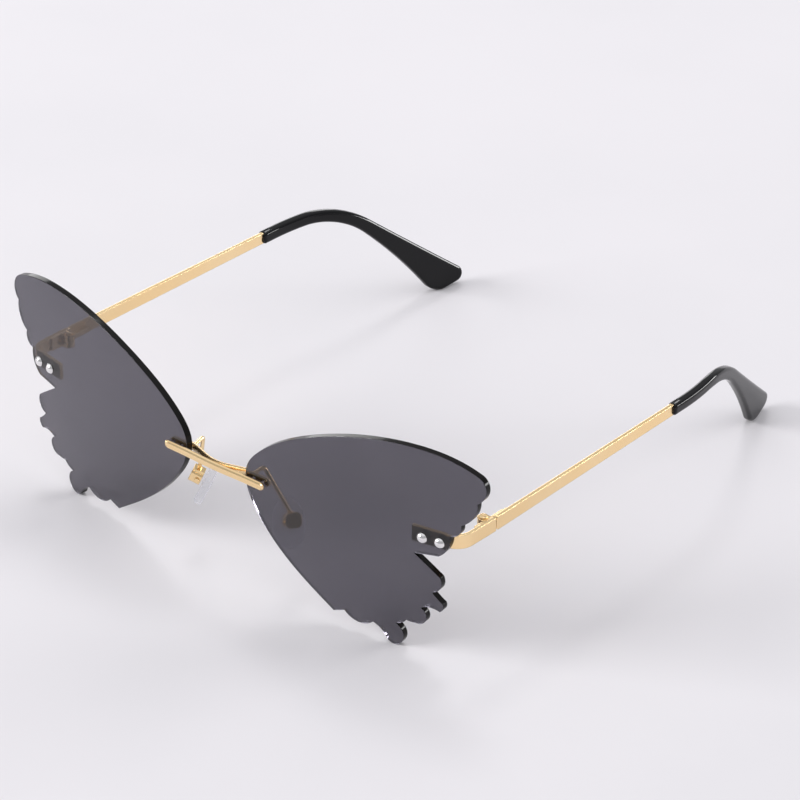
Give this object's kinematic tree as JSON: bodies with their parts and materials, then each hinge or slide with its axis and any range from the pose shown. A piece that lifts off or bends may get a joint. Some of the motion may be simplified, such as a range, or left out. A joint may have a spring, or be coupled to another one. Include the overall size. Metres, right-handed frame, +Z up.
{
  "type": "butterfly sunglasses",
  "caption": "Rimless sunglasses with dark butterfly-wing lenses, a metal bridge, adjustable nose pads and folding temples with plastic tips.",
  "frame": {"origin": "middle of the footprint, on the ground under the lens tails and the temple tips, with both temples open", "axes": "+X towards the wearer's left, +Y from the lenses back along the temples, +Z up"},
  "size_m": [0.1446, 0.145, 0.0526],
  "materials": {
    "lens": "dark grey tinted sheet, smooth and glossy, polished cut edge",
    "gold_metal": "light gold plating, polished",
    "lens_screw": "bright steel, polished domed heads",
    "temple_tip": "black acetate, glossy",
    "nose_pad": "clear soft plastic, smooth"
  },
  "bodies": {
    "frame": {"bridge_front_bar": "gold_metal", "bridge_back_bar": "gold_metal", "end_piece_left": "gold_metal", "end_piece_right": "gold_metal", "hinge_barrel_left": "gold_metal", "hinge_barrel_right": "gold_metal", "hinge_screw_left": "gold_metal", "hinge_screw_right": "gold_metal", "pad_arm_left": "gold_metal", "pad_arm_right": "gold_metal", "pad_box_left": "gold_metal", "pad_box_right": "gold_metal", "pad_pin_left": "gold_metal", "pad_pin_right": "gold_metal", "bridge_pin_outer_left": "gold_metal", "bridge_pin_outer_right": "gold_metal", "bridge_pin_inner_left": "gold_metal", "bridge_pin_inner_right": "gold_metal", "lens_left": "lens", "lens_right": "lens", "lens_screw_outer_left": "lens_screw", "lens_screw_outer_right": "lens_screw", "lens_screw_inner_left": "lens_screw", "lens_screw_inner_right": "lens_screw"},
    "temple_left": {"temple_left": "gold_metal", "hinge_tongue_left": "gold_metal", "temple_tip_left": "temple_tip"},
    "temple_right": {"temple_right": "gold_metal", "hinge_tongue_right": "gold_metal", "temple_tip_right": "temple_tip"},
    "nose_pad_left": {"nose_pad_left": "nose_pad"},
    "nose_pad_right": {"nose_pad_right": "nose_pad"}
  },
  "joints": [
    {"name": "hinge_left", "type": "hinge", "parent": "frame", "child": "temple_left", "pos_m": [0.0636, -0.05253, 0.03092], "axis": [0, 0.0069, 1], "range_deg": [0, 88]},
    {"name": "hinge_right", "type": "hinge", "parent": "frame", "child": "temple_right", "pos_m": [-0.0636, -0.05253, 0.03092], "axis": [0, -0.0069, -1], "range_deg": [0, 82]},
    {"name": "nose_pad_rock_left", "type": "hinge", "parent": "frame", "child": "nose_pad_left", "pos_m": [0.0148, -0.06126, 0.01613], "axis": [-0.5, -0.866, 0.006], "range_deg": [-8, 8]},
    {"name": "nose_pad_rock_right", "type": "hinge", "parent": "frame", "child": "nose_pad_right", "pos_m": [-0.0148, -0.06126, 0.01613], "axis": [-0.5, 0.866, -0.006], "range_deg": [-8, 8]}
  ]
}
